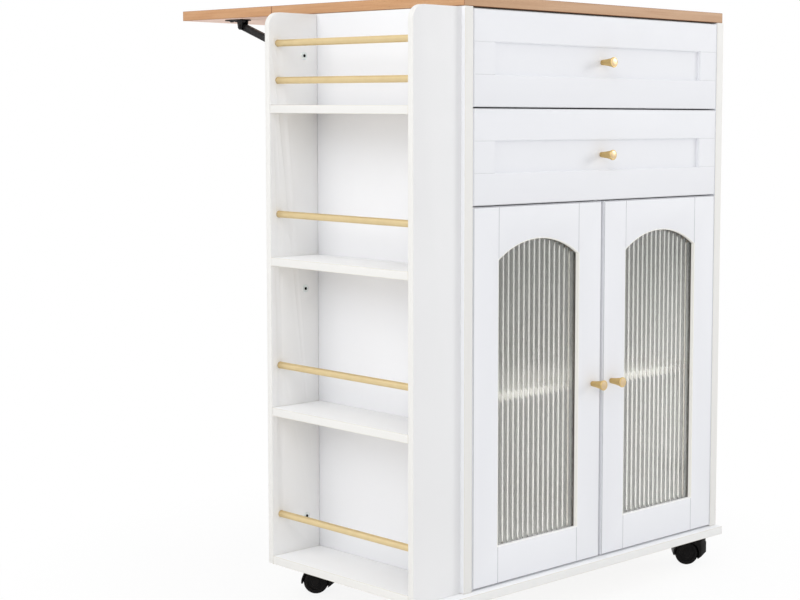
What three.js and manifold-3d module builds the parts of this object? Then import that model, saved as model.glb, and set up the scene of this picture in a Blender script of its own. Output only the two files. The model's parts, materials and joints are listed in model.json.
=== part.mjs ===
// Drop leaf kitchen island: a cabinet with two drawers over two glazed doors, on four
// casters, with an open rack on its left end and a leaf that folds down behind the worktop.
//
// Sizes are in mm. The pieces are laid out in cabinet coordinates: x runs right from the
// left side panel's outer face, y runs back from the front faces, and z runs up from the
// base board's top face. The exported group moves them to the island's own frame, whose
// origin is on the floor under the middle of the island.

import * as THREE from 'three';
import { mergeVertices } from 'three/addons/utils/BufferGeometryUtils.js';
import Module from 'manifold-3d';

const wasm = await Module();
wasm.setup();

// ---------------------------------------------------------------- driving dimensions

const TOUCH = 0.3; // air between two pieces that rest against each other

// cabinet
const WIDTH = 563;
const DEPTH = 329.3;
const PANEL = 15; // thickness of side panels, deck, fronts and worktop
const PANEL_TOP = 802.5;
const BACK_BOARD = 12;
const BASE_BOARD = 12;
const BASE_NOSE = 13.4; // how far the base board stands out at the front
const BASE_UNDER_RACK = 52; // how far it runs out under the rack
const WORKTOP_SETBACK = 2;
const SHELF_TOP = 264.5;
const SHELF_BOARD = 12;
const SHELF_SETBACK = 32;
const TOP_RAIL_DEPTH = 60;

// fronts
const FRONT_TOP = 800;
const FRONT_GAP = 2; // between one front and the next above it
const SIDE_GAP = 1.8; // between a front and the side panel
const DOOR_MEETING_GAP = 6.4;
const DOOR_BOTTOM = 2.6;
const EDGE_ROUND = 1.2; // rounding on the fronts' edges
const DRAWER_HEIGHT = 132;
const RECESS_SIDE = 41.4; // width of a drawer front's end border
const RECESS_EDGE = 44; // height of its top and bottom border
const RECESS_DEPTH = 5;
const DOOR_STILE = 49;
const DOOR_BOTTOM_RAIL = 53.4;
const ARCH_SPRING = 457.5;
const ARCH_APEX = 484;
const GLASS_SETBACK = 5.2;
const GLASS_THICKNESS = 4;
const GLASS_LAP = 6; // how far the pane runs behind the frame
const FLUTES = 17; // across the pane
const FLUTE_PROFILE = [[-1, 1.97], [-0.86, 1.09], [-0.72, 0.66], [0, 0], [0.72, 0.66], [0.86, 1.09]];
// each flute as [share of half its width, depth behind its crown]: a flat crown, steep flanks
const JOINT_GROOVE = 0.7; // width of the line where a stile meets a rail

// drawer boxes and their runners
const BOX_HEIGHT = 90;
const BOX_BOARD = 12;
const BOX_DEPTH = 275;
const BOX_RISE = 15; // box bottom above its front's bottom edge
const BOX_FLOOR = 5;
const BOX_FLOOR_RISE = 8;
const RUNNER_ROOM = 13; // between a drawer box and the side panel
const RUNNER_LENGTH = 250;
const RUNNER_HALF_HEIGHT = 17.5;
const RUNNER_STEEL = 1.3;

// knobs
const KNOB_LENGTH = 24;
const KNOB_FOOT_RADIUS = 3.7;
const KNOB_HEAD_RADIUS = 8;
const DOOR_KNOB_HEIGHT = 264;
const DOOR_KNOB_OFFSET = 21; // from the middle of the cabinet

// concealed door hinges
const HINGE_HEIGHTS = { lower: 92, upper: 442 };
const CUP_RADIUS = 17.5;
const CUP_INSET = 22.5; // cup centre to the door's hinged edge
const CUP_FLANGE = 1.2;

// rack on the left end
const RACK_REACH = 87;
const RACK_INSET = 7.3; // rack face behind the cabinet's front and back faces
const RACK_PANEL = 10;
const RACK_TOP = 801.5;
const RACK_CORNER = 20;
const RACK_BOARD = 11.7;
const RACK_SHELF_TOPS = [231.6, 450.3, 669.4];
const RAIL_RADIUS = 4.9;
const RAIL_SETBACK = 15.5; // rail centre line to the rack's open edge
const RAIL_HEIGHTS = [72.5, 292.5, 512.5, 704.5, 757.5];
const RAIL_SEAT = 5; // how far a rail's end sits in its blind hole

// drop leaf, its hinges and its folding stays
const LEAF_SEAM = 419.5;
const LEAF_END = 649.5;
const SEAM_GAP = 1;
const BARREL_RADIUS = 3;
const LEAF_HINGE_LENGTH = 60;
const LEAF_HINGE_WING = 24;
const LEAF_HINGE_STEEL = 1.5;
const LEAF_HINGE_AT = [110, 453];
const STAY_AT = [32, 531];
const STAY_LEAF_PIVOT = { y: 530, z: 792 };
const STAY_WALL_PIVOT = { y: 341, z: 728 };
const LOWER_LINK = 103.5; // wall pivot to elbow; the upper link makes up the rest
const LINK_RADIUS = 5.2; // half the width of a stay's link
const LINK_END = 5; // how far a link's square end reaches beyond its pivot
const LINK_STEEL = 1.8;
const LINK_FLANGE = 4.5;
const PIN_RADIUS = 2.3;
const STAY_EAR = 2; // thickness of the two ears that hold a pivot pin
const STAY_EAR_RADIUS = 5.5;
const STAY_PLATE = 2;
const STAY_PLATE_ENDS = [-10, 34]; // from the pivot

// casters
const FLOOR = -62;
const WHEEL_RADIUS = 18.5;
const WHEEL_FACETS = 28;
const WHEEL_INNER_FACE = 4.2; // from the middle of the caster
const WHEEL_OUTER_FACE = 15;
const HOOD_RADIUS = 21.8;
const HOOD_HALF_WIDTH = 17;
const HOOD_WEB = 3.6; // half the thickness of the web between the wheels
const HOOD_NOSE = 12; // how far the hood reaches ahead of the swivel axis
const HOOD_LIP = -5; // degrees, where the hood ends behind the wheels
const CASTER_PLATE = 2;
const CASTER_PLATE_SIDE = 34;
const CASTER_INSET = { x: 19, front: 20, rear: 311 };
const CASTER_TRAIL = 20; // swivel axis to wheel axle
const CASTER_HEADING = 135; // degrees, the way the wheels trail, from +x towards +y

// sizes worked out from the ones above
const INNER = { left: PANEL, right: WIDTH - PANEL };
const MIDDLE = WIDTH / 2;
const UNDER_TOP = PANEL_TOP + TOUCH; // worktop and leaf underside
const BACK_FACE = DEPTH - BACK_BOARD; // inside of the back board
const DOOR_TOP = FRONT_TOP - 2 * (DRAWER_HEIGHT + FRONT_GAP);
const DOOR_WIDTH = MIDDLE - DOOR_MEETING_GAP / 2 - INNER.left - SIDE_GAP;
const LEAF_AXIS_Z = UNDER_TOP - TOUCH - BARREL_RADIUS;

// ---------------------------------------------------------------- materials

function finish(color, roughness, metalness) {
  return new THREE.MeshStandardMaterial({ color, roughness, metalness });
}

const white = finish(0xe9ebee, 0.45, 0);
const warmWhite = finish(0xe4e4e0, 0.5, 0);
const beech = finish(0xd9a878, 0.5, 0);
const satinGold = finish(0xd9b36a, 0.32, 0.9);
const zinc = finish(0xb8bbbd, 0.35, 0.85);
const blackSteel = finish(0x1d1d20, 0.45, 0.5);
const blackPlastic = finish(0x232226, 0.55, 0);
const glass = finish(0xc3cbca, 0.12, 0);
glass.transparent = true;
glass.opacity = 0.45;

// ---------------------------------------------------------------- solids

/** A geometry's closed surface as a solid that can be joined and cut. */
function toSolid(geometry) {
  const bare = new THREE.BufferGeometry();
  bare.setAttribute('position', geometry.getAttribute('position'));
  bare.setIndex(geometry.getIndex());
  const merged = mergeVertices(bare, 1e-4);
  const corners = merged.getIndex().array;
  const triangles = [];
  for (let i = 0; i < corners.length; i += 3) {
    const [a, b, c] = [corners[i], corners[i + 1], corners[i + 2]];
    if (a !== b && b !== c && c !== a) triangles.push(a, b, c);
  }
  const mesh = new wasm.Mesh({
    numProp: 3,
    vertProperties: Float32Array.from(merged.getAttribute('position').array),
    triVerts: Uint32Array.from(triangles),
  });
  return new wasm.Manifold(mesh);
}

function toGeometry(solid) {
  const mesh = solid.getMesh();
  const geometry = new THREE.BufferGeometry();
  geometry.setAttribute('position', new THREE.BufferAttribute(mesh.vertProperties, 3));
  geometry.setIndex(new THREE.BufferAttribute(mesh.triVerts, 1));
  geometry.computeVertexNormals();
  return geometry;
}

function join(...geometries) {
  return toGeometry(geometries.map(toSolid).reduce((whole, piece) => whole.add(piece)));
}

function cut(geometry, ...tools) {
  return toGeometry(tools.map(toSolid).reduce((rest, tool) => rest.subtract(tool), toSolid(geometry)));
}

/** A block between two corners, given as ranges along x, y and z. */
function block([x0, x1], [y0, y1], [z0, z1]) {
  const geometry = new THREE.BoxGeometry(x1 - x0, y1 - y0, z1 - z0);
  return geometry.translate((x0 + x1) / 2, (y0 + y1) / 2, (z0 + z1) / 2);
}

function outline(points) {
  return new THREE.Shape(points.map(([u, v]) => new THREE.Vector2(u, v)));
}

function rectangle(u0, u1, v0, v1) {
  return outline([[u0, v0], [u1, v0], [u1, v1], [u0, v1]]);
}

/** Extrudes an outline drawn on (x, y) upwards. */
function alongZ(shape, z0, z1, curveSegments = 12) {
  const geometry = new THREE.ExtrudeGeometry(shape, { depth: z1 - z0, bevelEnabled: false, curveSegments });
  return geometry.translate(0, 0, z0);
}

/** Extrudes an outline drawn on (x, z) along y. */
function alongY(shape, y0, y1, curveSegments = 12) {
  return alongZ(shape, -y1, -y0, curveSegments).rotateX(Math.PI / 2);
}

/** Extrudes an outline drawn on (y, z) along x. */
function alongX(shape, x0, x1, curveSegments = 12) {
  const turn = new THREE.Matrix4().makeBasis(
    new THREE.Vector3(0, 1, 0), new THREE.Vector3(0, 0, 1), new THREE.Vector3(1, 0, 0));
  return alongZ(shape, x0, x1, curveSegments).applyMatrix4(turn);
}

/** A round bar along y. */
function barY(radius, y0, y1, x, z, facets = 20) {
  return new THREE.CylinderGeometry(radius, radius, y1 - y0, facets).translate(x, (y0 + y1) / 2, z);
}

/** A round bar along x. */
function barX(radius, x0, x1, y, z, facets = 20) {
  const geometry = new THREE.CylinderGeometry(radius, radius, x1 - x0, facets);
  return geometry.rotateZ(Math.PI / 2).translate((x0 + x1) / 2, y, z);
}

/** A round bar along z. */
function barZ(radius, z0, z1, x, y, facets = 20) {
  const geometry = new THREE.CylinderGeometry(radius, radius, z1 - z0, facets);
  return geometry.rotateX(Math.PI / 2).translate(x, y, (z0 + z1) / 2);
}

const island = new THREE.Group();

function add(name, geometry, material, parent = island) {
  const mesh = new THREE.Mesh(geometry, material);
  mesh.name = name;
  parent.add(mesh);
  return mesh;
}

/** A plain rectangular board, placed by its corners. */
function board(name, material, xs, ys, zs) {
  const middle = ([low, high]) => (low + high) / 2;
  const size = ([low, high]) => high - low;
  const mesh = add(name, new THREE.BoxGeometry(size(xs), size(ys), size(zs)), material);
  mesh.position.set(middle(xs), middle(ys), middle(zs));
  return mesh;
}

// ---------------------------------------------------------------- cabinet

function casterSpots() {
  const { x, front, rear } = CASTER_INSET;
  return {
    front_left: [x, front],
    front_right: [WIDTH - x, front],
    rear_left: [x, rear],
    rear_right: [WIDTH - x, rear],
  };
}

/** The base board, with the four caster plates on its underside. */
function baseBoard() {
  const slab = block([-BASE_UNDER_RACK, WIDTH], [-BASE_NOSE, DEPTH], [-BASE_BOARD, 0]);
  const half = CASTER_PLATE_SIDE / 2;
  const plates = Object.values(casterSpots()).map(([x, y]) =>
    block([x - half, x + half], [y - half, y + half], [-BASE_BOARD - CASTER_PLATE, 1 - BASE_BOARD]));
  return join(slab, ...plates);
}

function buildCabinet() {
  const between = [INNER.left + TOUCH, INNER.right - TOUCH];
  const behindFronts = PANEL + 2 * TOUCH;
  const beforeBack = BACK_FACE - TOUCH;
  const deckMiddle = DOOR_TOP + FRONT_GAP / 2;

  add('base_board', baseBoard(), white);
  board('side_panel_left', white, [0, PANEL], [0, DEPTH], [TOUCH, PANEL_TOP]);
  board('side_panel_right', white, [INNER.right, WIDTH], [0, DEPTH], [TOUCH, PANEL_TOP]);
  board('back_panel', warmWhite, between, [BACK_FACE, DEPTH], [TOUCH, PANEL_TOP]);
  board('drawer_deck', warmWhite, between, [behindFronts, beforeBack],
    [deckMiddle - PANEL / 2, deckMiddle + PANEL / 2]);
  board('cupboard_shelf', warmWhite, between, [SHELF_SETBACK, beforeBack],
    [SHELF_TOP - SHELF_BOARD, SHELF_TOP]);
  board('top_rail', warmWhite, between, [behindFronts, behindFronts + TOP_RAIL_DEPTH],
    [PANEL_TOP - PANEL, PANEL_TOP]);
  board('worktop', beech, [0, WIDTH], [WORKTOP_SETBACK, LEAF_SEAM - SEAM_GAP / 2],
    [UNDER_TOP, UNDER_TOP + PANEL]);
}

// ---------------------------------------------------------------- rack

/** A rack end panel: rounded at its top outer corner, with blind holes for the rails. */
function rackPanel(y0, y1, holeMouth, holeEnd) {
  const shape = new THREE.Shape();
  shape.moveTo(-TOUCH, TOUCH);
  shape.lineTo(-TOUCH, RACK_TOP);
  shape.lineTo(RACK_CORNER - RACK_REACH, RACK_TOP);
  shape.absarc(RACK_CORNER - RACK_REACH, RACK_TOP - RACK_CORNER, RACK_CORNER, Math.PI / 2, Math.PI);
  shape.lineTo(-RACK_REACH, TOUCH);
  const low = Math.min(holeMouth, holeEnd);
  const high = Math.max(holeMouth, holeEnd);
  const holes = RAIL_HEIGHTS.map((z) =>
    barY(RAIL_RADIUS + TOUCH, low, high, RAIL_SETBACK - RACK_REACH, z, 12));
  return cut(alongY(shape, y0, y1, 10), ...holes);
}

function buildRack() {
  const front = RACK_INSET + RACK_PANEL; // inner face of the front end panel
  const rear = DEPTH - RACK_INSET - RACK_PANEL; // inner face of the rear end panel
  const seat = RAIL_SEAT + TOUCH;
  add('rack_panel_front', rackPanel(RACK_INSET, front, front - seat, front + 1), white);
  add('rack_panel_rear', rackPanel(rear, rear + RACK_PANEL, rear - 1, rear + seat), white);

  const reach = [-RACK_REACH, -TOUCH];
  const span = [front + TOUCH, rear - TOUCH];
  board('rack_bottom', white, reach, span, [TOUCH, TOUCH + RACK_BOARD]);
  RACK_SHELF_TOPS.forEach((top, i) => {
    board(`rack_shelf_${i + 1}`, white, reach, span, [top - RACK_BOARD, top]);
  });
  RAIL_HEIGHTS.forEach((z, i) => {
    const length = rear - front + 2 * RAIL_SEAT;
    const rail = add(`rack_rail_${i + 1}`,
      new THREE.CylinderGeometry(RAIL_RADIUS, RAIL_RADIUS, length, 20), satinGold);
    rail.position.set(RAIL_SETBACK - RACK_REACH, (front + rear) / 2, z);
  });
}

// ---------------------------------------------------------------- fronts

/** An upright slab with rounded edges, its front face at y = 0; the outline is on (x, z). */
function frontSlab(shape, thickness = PANEL, round = EDGE_ROUND) {
  const geometry = new THREE.ExtrudeGeometry(shape, {
    depth: thickness - 2 * round,
    bevelThickness: round,
    bevelSize: round,
    bevelOffset: -round,
    bevelSegments: 2,
    curveSegments: 18,
  });
  return geometry.translate(0, 0, round - thickness).rotateX(Math.PI / 2);
}

/** A pocket sunk from the front face, with its mouth eased by the fronts' rounding. */
function pocket(x0, x1, z0, z1, depth) {
  const mouth = new THREE.ExtrudeGeometry(rectangle(x0, x1, z0, z1), {
    depth: 1,
    bevelThickness: EDGE_ROUND,
    bevelSize: EDGE_ROUND,
    bevelSegments: 2,
  });
  mouth.rotateX(Math.PI / 2);
  return join(mouth, block([x0, x1], [-1, depth], [z0, z1]));
}

/** A fine V groove on the front face, from one (x, z) point straight to another. */
function jointLine(x0, z0, x1, z1) {
  const length = Math.hypot(x1 - x0, z1 - z0);
  const half = JOINT_GROOVE / 2;
  const groove = alongX(outline([[-half, -JOINT_GROOVE], [half, 0], [-half, JOINT_GROOVE]]), 0, length);
  groove.rotateY(-Math.atan2(z1 - z0, x1 - x0));
  return groove.translate(x0, 0, z0);
}

/** A tapered knob on a front face, its head towards -y. */
function knob() {
  const profile = [
    [0, 0],
    [KNOB_FOOT_RADIUS, 0],
    [KNOB_FOOT_RADIUS, 2],
    [KNOB_HEAD_RADIUS - 0.3, KNOB_LENGTH - 3.6],
    [KNOB_HEAD_RADIUS, KNOB_LENGTH - 2.4],
    [KNOB_HEAD_RADIUS - 0.3, KNOB_LENGTH - 1.1],
    [KNOB_HEAD_RADIUS - 1.2, KNOB_LENGTH],
    [0, KNOB_LENGTH],
  ];
  const geometry = new THREE.LatheGeometry(profile.map(([r, y]) => new THREE.Vector2(r, y)), 24);
  return geometry.rotateX(Math.PI);
}

// ---------------------------------------------------------------- drawers

const FRONT_LEFT = INNER.left + SIDE_GAP;
const FRONT_RIGHT = INNER.right - SIDE_GAP;

/** A drawer front: a recessed middle, and joint lines where the long rails meet the ends. */
function drawerFront() {
  const recess = {
    left: FRONT_LEFT + RECESS_SIDE,
    right: FRONT_RIGHT - RECESS_SIDE,
    low: RECESS_EDGE,
    high: DRAWER_HEIGHT - RECESS_EDGE,
  };
  const slab = frontSlab(rectangle(FRONT_LEFT, FRONT_RIGHT, 0, DRAWER_HEIGHT));
  const lines = [recess.low, recess.high].flatMap((z) => [
    jointLine(FRONT_LEFT - 1, z, recess.left + 1, z),
    jointLine(recess.right - 1, z, FRONT_RIGHT + 1, z),
  ]);
  return cut(slab, pocket(recess.left, recess.right, recess.low, recess.high, RECESS_DEPTH), ...lines);
}

/** One half of a drawer runner, a channel along y; `open` is the x side that it opens to. */
function runnerChannel(backX, lipX, halfHeight, steel, y0, y1) {
  const web = backX + Math.sign(lipX - backX) * steel;
  const shape = outline([
    [backX, -halfHeight],
    [lipX, -halfHeight],
    [lipX, steel - halfHeight],
    [web, steel - halfHeight],
    [web, halfHeight - steel],
    [lipX, halfHeight - steel],
    [lipX, halfHeight],
    [backX, halfHeight],
  ]);
  return alongY(shape, y0, y1);
}

/** A drawer box with its floor let into the sides, and its halves of the two runners. */
function drawerBox() {
  const left = INNER.left + RUNNER_ROOM;
  const right = INNER.right - RUNNER_ROOM;
  const front = PANEL + TOUCH;
  const back = front + BOX_DEPTH;
  const walls = block([left, right], [front, back], [0, BOX_HEIGHT]);
  const insideX = [left + BOX_BOARD, right - BOX_BOARD];
  const insideY = [front + BOX_BOARD, back - BOX_BOARD];
  const box = cut(walls,
    block(insideX, insideY, [BOX_FLOOR_RISE + BOX_FLOOR, BOX_HEIGHT + 1]),
    block(insideX, insideY, [-1, BOX_FLOOR_RISE]));

  const runnerY = [front + 3, front + 3 + RUNNER_LENGTH];
  const halfHeight = RUNNER_HALF_HEIGHT - 2 * RUNNER_STEEL - 1;
  const lip = RUNNER_ROOM - 4;
  const slides = [
    runnerChannel(left + 0.1, left - lip, halfHeight, RUNNER_STEEL, ...runnerY),
    runnerChannel(right - 0.1, right + lip, halfHeight, RUNNER_STEEL, ...runnerY),
  ];
  slides.forEach((slide) => slide.translate(0, 0, BOX_HEIGHT / 2));
  return join(box, ...slides);
}

function buildDrawers() {
  const runnerY = [PANEL + 3, PANEL + 3 + RUNNER_LENGTH];
  ['upper', 'lower'].forEach((place, row) => {
    const bottom = FRONT_TOP - DRAWER_HEIGHT - row * (DRAWER_HEIGHT + FRONT_GAP);
    add(`drawer_front_${place}`, drawerFront(), white).position.z = bottom;
    add(`drawer_box_${place}`, drawerBox(), warmWhite).position.z = bottom + BOX_RISE;
    add(`drawer_knob_${place}`, knob(), satinGold)
      .position.set(MIDDLE, RECESS_DEPTH - TOUCH, bottom + DRAWER_HEIGHT / 2);

    const runnerZ = bottom + BOX_RISE + BOX_HEIGHT / 2;
    const depth = RUNNER_ROOM - 4;
    const runner = (backX, lipX) =>
      runnerChannel(backX, lipX, RUNNER_HALF_HEIGHT, RUNNER_STEEL, ...runnerY);
    add(`runner_${place}_left`, runner(INNER.left + TOUCH, INNER.left + depth), zinc).position.z = runnerZ;
    add(`runner_${place}_right`, runner(INNER.right - TOUCH, INNER.right - depth), zinc)
      .position.z = runnerZ;
  });
}

// ---------------------------------------------------------------- doors

/** The window of a door: straight sides under a segmental arch. */
function windowOutline(Outline, left, right, sill) {
  const half = (right - left) / 2;
  const rise = ARCH_APEX - ARCH_SPRING;
  const radius = (half * half + rise * rise) / (2 * rise);
  const centre = { x: (left + right) / 2, z: ARCH_APEX - radius };
  const start = Math.atan2(ARCH_SPRING - centre.z, half);
  const path = new Outline();
  path.moveTo(left, sill);
  path.lineTo(right, sill);
  path.lineTo(right, ARCH_SPRING);
  path.absarc(centre.x, centre.z, radius, start, Math.PI - start);
  path.lineTo(left, sill);
  return path;
}

/** The hinge cup's flange, which stands a little proud of the door's back. */
function cupFlange(x, z) {
  const disc = barY(CUP_RADIUS, PANEL - 1, PANEL + CUP_FLANGE, x, z, 20);
  const ears = block([x - 5.5, x + 5.5], [PANEL - 1, PANEL + CUP_FLANGE], [z - 28, z + 28]);
  return join(disc, ears);
}

/** A door frame, with its glass rebate, joint lines and hinge cups. */
function doorFrame(left, hingedEdge) {
  const right = left + DOOR_WIDTH;
  const pane = { left: left + DOOR_STILE, right: right - DOOR_STILE, sill: DOOR_BOTTOM + DOOR_BOTTOM_RAIL };
  const shape = rectangle(left, right, DOOR_BOTTOM, DOOR_TOP);
  shape.holes.push(windowOutline(THREE.Path, pane.left, pane.right, pane.sill));

  const lap = GLASS_LAP + TOUCH;
  const rebate = block([pane.left - lap, pane.right + lap], [GLASS_SETBACK - TOUCH, PANEL + 5],
    [pane.sill - lap, ARCH_APEX + lap]);
  const lines = [pane.left, pane.right].flatMap((x) => [
    jointLine(x, DOOR_BOTTOM - 1, x, pane.sill + 1),
    jointLine(x, ARCH_SPRING - 1, x, DOOR_TOP + 1),
  ]);
  const inwards = hingedEdge === left ? 1 : -1;
  const cups = Object.values(HINGE_HEIGHTS).map((z) => cupFlange(hingedEdge + inwards * CUP_INSET, z));
  return join(cut(frontSlab(shape), rebate, ...lines), ...cups);
}

/** A pane whose front face is a row of upright flutes. */
function flutedPane(left, right, bottom, top) {
  const half = (right - left) / FLUTES / 2;
  const front = [];
  for (let i = 0; i < FLUTES; i += 1) {
    const crown = left + (2 * i + 1) * half;
    front.push(...FLUTE_PROFILE.map(([share, depth]) => [crown + share * half, depth]));
  }
  front.push([right, FLUTE_PROFILE[0][1]]);
  const shape = outline([...front, [right, GLASS_THICKNESS], [left, GLASS_THICKNESS]]);
  return alongZ(shape, bottom, top);
}

/** The arm and mounting plate of a concealed hinge on the left side panel, at z = 0. */
function hingeArm(facing) {
  const face = facing > 0 ? INNER.left : INNER.right;
  const at = (depth, y) => [face + facing * depth, y];
  const arm = outline([
    at(1, 71), at(8, 71), at(10, 49), at(21, 25), at(25.5, PANEL + 2.4),
    at(17.5, PANEL + 2.4), at(14, 24), at(5, 40), at(1, 44),
  ]);
  const plate = rectangle(face + facing * TOUCH, face + facing * 2.2, 36, 74);
  const wings = rectangle(face + facing * TOUCH, face + facing * 2.2, 46, 58);
  return join(alongZ(arm, -6.5, 6.5), alongZ(plate, -9, 9), alongZ(wings, -24, 24));
}

function buildDoors() {
  const sides = {
    left: { left: FRONT_LEFT, hingedEdge: FRONT_LEFT, facing: 1 },
    right: { left: FRONT_RIGHT - DOOR_WIDTH, hingedEdge: FRONT_RIGHT, facing: -1 },
  };
  for (const [name, side] of Object.entries(sides)) {
    add(`door_frame_${name}`, doorFrame(side.left, side.hingedEdge), white);
    const pane = flutedPane(
      side.left + DOOR_STILE - GLASS_LAP, side.left + DOOR_WIDTH - DOOR_STILE + GLASS_LAP,
      DOOR_BOTTOM + DOOR_BOTTOM_RAIL - GLASS_LAP, ARCH_APEX + GLASS_LAP);
    add(`door_glass_${name}`, pane, glass).position.y = GLASS_SETBACK;
    add(`door_knob_${name}`, knob(), satinGold)
      .position.set(MIDDLE - side.facing * DOOR_KNOB_OFFSET, -TOUCH, DOOR_KNOB_HEIGHT);
    for (const [level, z] of Object.entries(HINGE_HEIGHTS)) {
      add(`door_hinge_${name}_${level}`, hingeArm(side.facing), zinc).position.z = z;
    }
  }
}

// ---------------------------------------------------------------- drop leaf

/**
 * One half of a butt hinge, from its axis outwards along `side` (-1 to the worktop, +1 to
 * the leaf). The fixed half carries the pin and the outer knuckles, the moving half the
 * middle one.
 */
function hingeHalf(side, moving) {
  const half = LEAF_HINGE_LENGTH / 2;
  const knuckle = LEAF_HINGE_LENGTH / 6;
  const top = BARREL_RADIUS;
  const clear = BARREL_RADIUS + 0.8;
  const ys = (from, to) => [Math.min(side * from, side * to), Math.max(side * from, side * to)];
  const wingZ = [top - LEAF_HINGE_STEEL, top];
  const wing = block([-half, half], ys(clear, LEAF_HINGE_WING), wingZ);
  const spans = moving
    ? [[TOUCH - knuckle, knuckle - TOUCH]]
    : [[-half, -knuckle], [knuckle, half]];
  const tabs = spans.map((span) => block(span, ys(0.5, clear + 1), wingZ));
  const barrels = spans.map(([x0, x1]) => barX(BARREL_RADIUS, x0, x1, 0, 0, 16));
  if (moving) return cut(join(wing, ...tabs, ...barrels), barX(1.9, -half, half, 0, 0, 12));
  return join(wing, ...tabs, ...barrels, barX(1.5, -half, half, 0, 0, 12));
}

/**
 * A stay link from its pivot at the origin to its elbow at (length, 0) on (y, z): a web with
 * two flanges that point at the other link. `side` is the x side of the stay that it is on.
 */
function stayLink(length, side) {
  const xs = (a, b) => [Math.min(side * a, side * b), Math.max(side * a, side * b)];
  const inside = TOUCH + LINK_FLANGE; // the web's face between the flanges
  const outside = inside + LINK_STEEL;
  const shape = new THREE.Shape();
  shape.absarc(length, 0, LINK_RADIUS, -Math.PI / 2, Math.PI / 2);
  shape.lineTo(-LINK_END, LINK_RADIUS);
  shape.lineTo(-LINK_END, -LINK_RADIUS);
  const hole = new THREE.Path();
  hole.absarc(0, 0, PIN_RADIUS + TOUCH, 0, 2 * Math.PI);
  shape.holes.push(hole);
  const flangeYs = [-LINK_END, length - 9];
  const flangeZs = [[-LINK_RADIUS, LINK_STEEL - LINK_RADIUS], [LINK_RADIUS - LINK_STEEL, LINK_RADIUS]];
  const flanges = flangeZs.map((zs) => block(xs(TOUCH, outside - 0.1), flangeYs, zs));
  const elbow = barX(3.4, ...xs(TOUCH, outside + 1.4), length, 0, 12);
  return join(alongX(shape, ...xs(inside, outside), 6), ...flanges, elbow);
}

/**
 * A stay's foot: a screw plate and two ears with a pivot pin through them. It is drawn with
 * the pivot at the origin and the plate above it on (y, z), `reach` away. `side` is the x
 * side of the link that it carries.
 */
function stayFoot(reach, side) {
  const inner = -side * (TOUCH + STAY_EAR);
  const outer = side * (TOUCH + LINK_FLANGE + LINK_STEEL + 2 * TOUCH + STAY_EAR);
  const [x0, x1] = [Math.min(inner, outer), Math.max(inner, outer)];
  const [near, far] = STAY_PLATE_ENDS;
  const plate = rectangle(x0 - 3, x1 + 3, near, far);
  const holeAt = (y) => {
    const hole = new THREE.Path();
    hole.absarc((x0 + x1) / 2, y, 2.2, 0, 2 * Math.PI, true);
    return hole;
  };
  plate.holes.push(holeAt(far - 6), holeAt(far - 18));
  const ear = new THREE.Shape();
  ear.absarc(0, 0, STAY_EAR_RADIUS, Math.PI, 2 * Math.PI);
  ear.lineTo(STAY_EAR_RADIUS + 2, reach - 1);
  ear.lineTo(-STAY_EAR_RADIUS - 2, reach - 1);
  return join(
    alongZ(plate, reach - STAY_PLATE, reach, 6),
    alongX(ear, x0, x0 + STAY_EAR, 6),
    alongX(ear, x1 - STAY_EAR, x1, 6),
    barX(PIN_RADIUS, x0 - 1, x1 + 1, 0, 0, 12));
}

function buildLeaf() {
  board('drop_leaf', beech, [0, WIDTH], [LEAF_SEAM + SEAM_GAP / 2, LEAF_END],
    [UNDER_TOP, UNDER_TOP + PANEL]);

  LEAF_HINGE_AT.forEach((x, i) => {
    add(`leaf_hinge_${i + 1}_fixed`, hingeHalf(-1, false), zinc).position.set(x, LEAF_SEAM, LEAF_AXIS_Z);
    add(`leaf_hinge_${i + 1}_moving`, hingeHalf(1, true), zinc).position.set(x, LEAF_SEAM, LEAF_AXIS_Z);
  });

  const reachY = STAY_LEAF_PIVOT.y - STAY_WALL_PIVOT.y;
  const reachZ = STAY_LEAF_PIVOT.z - STAY_WALL_PIVOT.z;
  const slope = Math.atan2(reachZ, reachY);
  const upperLink = Math.hypot(reachY, reachZ) - LOWER_LINK;
  ['left', 'right'].forEach((name, i) => {
    const stay = new THREE.Group();
    stay.position.x = STAY_AT[i];
    island.add(stay);
    const place = (mesh, pivot, turn) => {
      mesh.position.set(0, pivot.y, pivot.z);
      mesh.rotation.x = turn;
    };
    const leafReach = UNDER_TOP - TOUCH - STAY_LEAF_PIVOT.z;
    const wallReach = STAY_WALL_PIVOT.y - DEPTH - TOUCH;
    place(add(`stay_${name}_leaf_plate`, stayFoot(leafReach, -1), blackSteel, stay),
      STAY_LEAF_PIVOT, 0);
    place(add(`stay_${name}_wall_plate`, stayFoot(wallReach, 1), blackSteel, stay),
      STAY_WALL_PIVOT, Math.PI / 2);
    place(add(`stay_${name}_upper_link`, stayLink(upperLink, -1), blackSteel, stay),
      STAY_LEAF_PIVOT, Math.PI + slope);
    place(add(`stay_${name}_lower_link`, stayLink(LOWER_LINK, 1), blackSteel, stay),
      STAY_WALL_PIVOT, slope);
  });
}

// ---------------------------------------------------------------- casters

/** Twin wheels on one axle, turned about y, with a flat facet underneath. */
function twinWheels() {
  const tread = WHEEL_RADIUS;
  const rim = WHEEL_OUTER_FACE;
  const disc = rim - 1.8; // the wheel's face, inside the rim
  const half = [
    [0, disc], [tread - 7.5, disc], [tread - 6, rim], [tread - 1.8, rim],
    [tread, disc], [tread, WHEEL_INNER_FACE], [3, WHEEL_INNER_FACE],
  ];
  const profile = [...half.map(([radius, y]) => [radius, -y]), ...[...half].reverse()];
  const points = profile.map(([radius, y]) => new THREE.Vector2(radius, y));
  return new THREE.LatheGeometry(points, WHEEL_FACETS, Math.PI / WHEEL_FACETS);
}

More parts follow.
